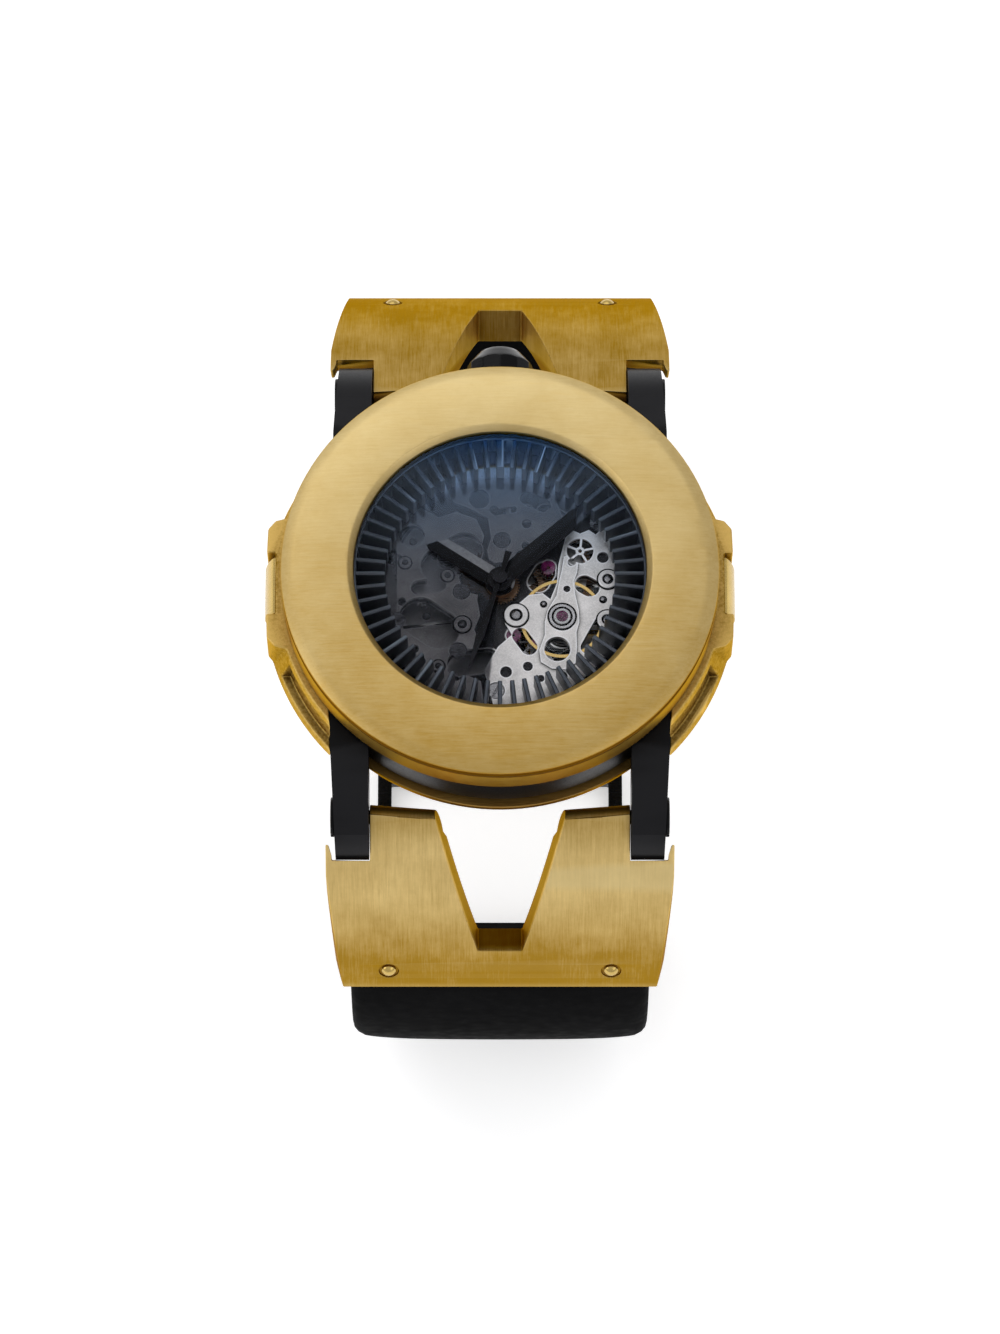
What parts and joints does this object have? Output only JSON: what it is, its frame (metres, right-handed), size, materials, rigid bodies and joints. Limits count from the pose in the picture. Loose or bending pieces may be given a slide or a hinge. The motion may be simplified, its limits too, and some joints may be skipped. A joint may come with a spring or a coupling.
{
  "type": "skeleton wristwatch",
  "caption": "Round skeleton wristwatch, brushed gold bezel, smoked see-through dial, curved hinged end plates and leather strap closed in a loop.",
  "frame": {"origin": "on the plane the strap loop stands on, straight below the dial's centre", "axes": "+Z is the dial's normal, +Y points to 12 o'clock and the winding knob, +X to 3 o'clock"},
  "size_m": [0.0476, 0.0795, 0.0599],
  "materials": {
    "gold_brushed": "horizontally brushed satin gold plating",
    "gold_plate": "lengthwise brushed satin gold plating",
    "gold_textured": "sand-textured gold plating",
    "gold_polished": "polished gold plating",
    "black_steel": "satin black coating on steel",
    "black_gloss": "polished black coating on steel",
    "leather_black": "smooth matt black calf",
    "glass_clear": "sapphire with a blue coating",
    "dial_smoke": "smoked clear film with one clear sector",
    "rehaut_black": "matt black",
    "hand_black": "satin black faceted",
    "rhodium": "grained rhodium",
    "ruthenium": "dark grained plating",
    "steel_polished": "polished steel",
    "gilt": "gilt brass",
    "copper_alloy": "plain beryllium copper",
    "ruby": "polished synthetic ruby",
    "seal_rubber": "black rubber"
  },
  "bodies": {
    "case": {"bezel": "gold_brushed", "crystal": "glass_clear", "crystal_gasket": "seal_rubber", "rehaut_ring": "rehaut_black", "middle_case": "black_steel", "case_chassis": "gold_polished", "side_guard_left": "gold_textured", "side_guard_right": "gold_textured", "side_claw_left": "gold_polished", "side_claw_right": "gold_polished", "guard_screws": "black_steel", "case_back": "steel_polished", "back_crystal": "glass_clear", "case_back_screws": "steel_polished", "crown_tube": "steel_polished", "movement_ring": "black_steel", "smoked_dial": "dial_smoke", "main_plate": "rhodium", "dial_side_bridge": "rhodium", "barrel_bridge": "rhodium", "train_bridge": "rhodium", "balance_cock": "rhodium", "click": "steel_polished", "pallet_bridge": "rhodium", "rotor_bearing": "steel_polished", "jewels": "ruby", "bridge_screws": "steel_polished", "shock_setting": "steel_polished", "hinge_pins": "black_steel"},
    "link_12": {"link_plate_12": "gold_plate", "rivets_12": "gold_polished", "strap_12": "leather_black", "clasp_cover": "black_gloss"},
    "link_6": {"link_plate_6": "gold_plate", "rivets_6": "gold_polished", "strap_6": "leather_black", "clasp_hinge": "black_gloss"},
    "clasp_frame": {"clasp_frame": "black_gloss"},
    "crown_pull": {"crown_seal": "seal_rubber"},
    "crown": {"crown": "black_gloss", "winding_stem": "steel_polished"},
    "winding_pinion": {"winding_pinion": "steel_polished"},
    "crown_wheel": {"crown_wheel": "steel_polished"},
    "ratchet": {"ratchet_wheel": "steel_polished"},
    "rotor": {"rotor": "ruthenium"},
    "minute": {"minute_hand": "hand_black", "cannon_pinion": "steel_polished"},
    "hour": {"hour_hand": "hand_black", "hour_wheel": "gilt"},
    "minute_work": {"minute_wheel": "gilt"},
    "fourth": {"fourth_wheel": "gilt", "seconds_hand": "hand_black"},
    "third": {"third_wheel": "copper_alloy"},
    "center": {"center_wheel": "gilt"},
    "barrel": {"barrel": "ruthenium", "mainspring": "steel_polished"},
    "escape": {"escape_wheel": "steel_polished"},
    "pallet": {"pallet_fork": "steel_polished"},
    "balance": {"balance_wheel": "gilt", "hairspring": "steel_polished"}
  },
  "joints": [
    {"name": "link_12_swing", "type": "hinge", "parent": "case", "child": "link_12", "pos_m": [0, 0.0229, 0.0488], "axis": [1, 0, 0], "range_deg": [0, 25]},
    {"name": "link_6_swing", "type": "hinge", "parent": "case", "child": "link_6", "pos_m": [0, -0.0229, 0.0488], "axis": [1, 0, 0], "range_deg": [-25, 0]},
    {"name": "clasp_fold", "type": "hinge", "parent": "link_6", "child": "clasp_frame", "pos_m": [0, -0.0196, 0.0019], "axis": [1, 0, 0], "range_deg": [0, 60]},
    {"name": "crown_pull", "type": "slide", "parent": "case", "child": "crown_pull", "axis": [0, 1, 0], "range_m": [0, 0.0009]},
    {"name": "crown_turn", "type": "hinge", "parent": "crown_pull", "child": "crown", "pos_m": [0, 0.022, 0.0521], "axis": [0, 1, 0], "continuous": true},
    {"name": "winding_pinion_spin", "type": "hinge", "parent": "case", "child": "winding_pinion", "pos_m": [0, 0.01, 0.0521], "axis": [0, 1, 0], "continuous": true},
    {"name": "crown_wheel_spin", "type": "hinge", "parent": "case", "child": "crown_wheel", "pos_m": [-0.0012, 0.0081, 0.0495], "axis": [0, 0, 1], "continuous": true},
    {"name": "ratchet_spin", "type": "hinge", "parent": "case", "child": "ratchet", "pos_m": [-0.0053, 0.0038, 0.0495], "axis": [0, 0, 1], "continuous": true},
    {"name": "rotor_spin", "type": "hinge", "parent": "case", "child": "rotor", "pos_m": [0, 0, 0.049], "axis": [0, 0, 1], "continuous": true},
    {"name": "minute_hand_turn", "type": "hinge", "parent": "case", "child": "minute", "pos_m": [0, 0, 0.0545], "axis": [0, 0, 1], "continuous": true},
    {"name": "hour_hand_turn", "type": "hinge", "parent": "case", "child": "hour", "pos_m": [0, 0, 0.0545], "axis": [0, 0, 1], "continuous": true},
    {"name": "minute_wheel_turn", "type": "hinge", "parent": "case", "child": "minute_work", "pos_m": [-0.00208, 0.0012, 0.0537], "axis": [0, 0, 1], "continuous": true},
    {"name": "fourth_turn", "type": "hinge", "parent": "case", "child": "fourth", "pos_m": [0, 0, 0.0506], "axis": [0, 0, 1], "continuous": true},
    {"name": "third_turn", "type": "hinge", "parent": "case", "child": "third", "pos_m": [0.00489, 0.00228, 0.0505], "axis": [0, 0, 1], "continuous": true},
    {"name": "center_turn", "type": "hinge", "parent": "case", "child": "center", "pos_m": [0, 0, 0.052], "axis": [0, 0, 1], "continuous": true},
    {"name": "barrel_turn", "type": "hinge", "parent": "case", "child": "barrel", "pos_m": [-0.0053, 0.0038, 0.0515], "axis": [0, 0, 1], "continuous": true},
    {"name": "escape_turn", "type": "hinge", "parent": "case", "child": "escape", "pos_m": [0.00137, -0.0051, 0.0515], "axis": [0, 0, 1], "continuous": true},
    {"name": "pallet_rock", "type": "hinge", "parent": "case", "child": "pallet", "pos_m": [0.00395, -0.00575, 0.0515], "axis": [0, 0, 1], "range_deg": [-5, 5]},
    {"name": "balance_swing", "type": "hinge", "parent": "case", "child": "balance", "pos_m": [0.0063, -0.0035, 0.05], "axis": [0, 0, 1], "range_deg": [-150, 150], "stiffness_Nm_per_rad": 0.0000005}
  ],
  "couplings": [
    {"joint": "link_6_swing", "follows": "link_12_swing", "ratio": -1},
    {"joint": "winding_pinion_spin", "follows": "crown_turn", "ratio": 1},
    {"joint": "crown_wheel_spin", "follows": "crown_turn", "ratio": -0.41026},
    {"joint": "ratchet_spin", "follows": "crown_turn", "ratio": 0.30769},
    {"joint": "hour_hand_turn", "follows": "minute_hand_turn", "ratio": 0.083333},
    {"joint": "minute_wheel_turn", "follows": "minute_hand_turn", "ratio": -0.33333},
    {"joint": "third_turn", "follows": "fourth_turn", "ratio": -0.13333},
    {"joint": "center_turn", "follows": "fourth_turn", "ratio": 0.016667},
    {"joint": "barrel_turn", "follows": "fourth_turn", "ratio": -0.0025641},
    {"joint": "escape_turn", "follows": "fourth_turn", "ratio": -10}
  ]
}
